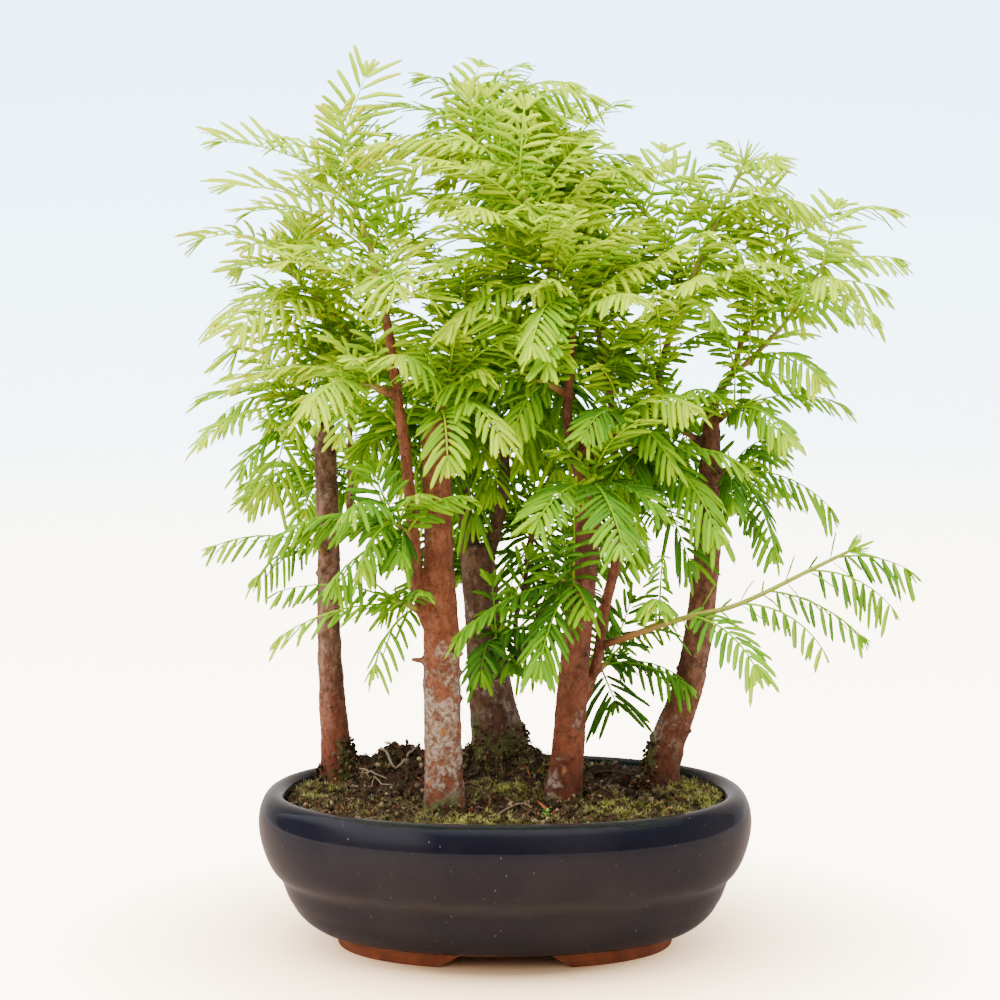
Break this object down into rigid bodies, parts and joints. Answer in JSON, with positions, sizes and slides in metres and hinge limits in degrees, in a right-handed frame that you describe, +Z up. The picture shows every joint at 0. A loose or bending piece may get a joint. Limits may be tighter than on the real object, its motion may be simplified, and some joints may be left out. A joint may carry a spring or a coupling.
{
  "type": "bonsai forest",
  "caption": "Dawn redwood bonsai forest: slim trunks with feathery green fronds rise from mossy soil in an oval, dark glazed pot on low unglazed feet.",
  "frame": {"origin": "on the table, under the middle of the whole plant's outline seen from above; the pot's centre lies 16 mm to its left and 8 mm in front of it", "axes": "+X to the viewer's right along the pot's long side, +Y away from the viewer, +Z up"},
  "size_m": [0.2556, 0.1728, 0.3304],
  "materials": {
    "glazed_clay": "gloss",
    "mossy_soil": "matte",
    "screen_plastic": "satin",
    "bark": "matte",
    "foliage": "satin"
  },
  "bodies": {
    "root": {"pot": "glazed_clay", "soil": "mossy_soil", "drain_screen_left": "screen_plastic", "drain_screen_right": "screen_plastic", "trunk_a": "bark", "trunk_b": "bark", "trunk_c": "bark", "trunk_d": "bark", "trunk_e": "bark", "shoot_a_back": "foliage", "shoot_a_left": "foliage", "shoot_a_low": "foliage", "shoot_a_stem": "foliage", "shoot_a_top": "foliage", "shoot_b_back": "foliage", "shoot_b_leader": "foliage", "shoot_b_left": "foliage", "shoot_b_low": "foliage", "shoot_b_mid": "foliage", "shoot_b_top": "foliage", "shoot_c_back": "foliage", "shoot_c_back_high": "foliage", "shoot_c_back_mid": "foliage", "shoot_c_front": "foliage", "shoot_c_left": "foliage", "shoot_c_low": "foliage", "shoot_c_mid_left": "foliage", "shoot_c_mid_right": "foliage", "shoot_c_right": "foliage", "shoot_c_twig": "foliage", "shoot_d_back": "foliage", "shoot_d_fan": "foliage", "shoot_d_front": "foliage", "shoot_d_leader": "foliage", "shoot_d_low": "foliage", "shoot_d_low_left": "foliage", "shoot_d_low_right": "foliage", "shoot_d_mid": "foliage", "shoot_d_mid_front": "foliage", "shoot_d_mid_left": "foliage", "shoot_d_tall": "foliage", "shoot_e_back": "foliage", "shoot_e_left": "foliage", "shoot_e_low": "foliage", "shoot_e_mid": "foliage", "shoot_e_top": "foliage"}
  },
  "joints": []
}
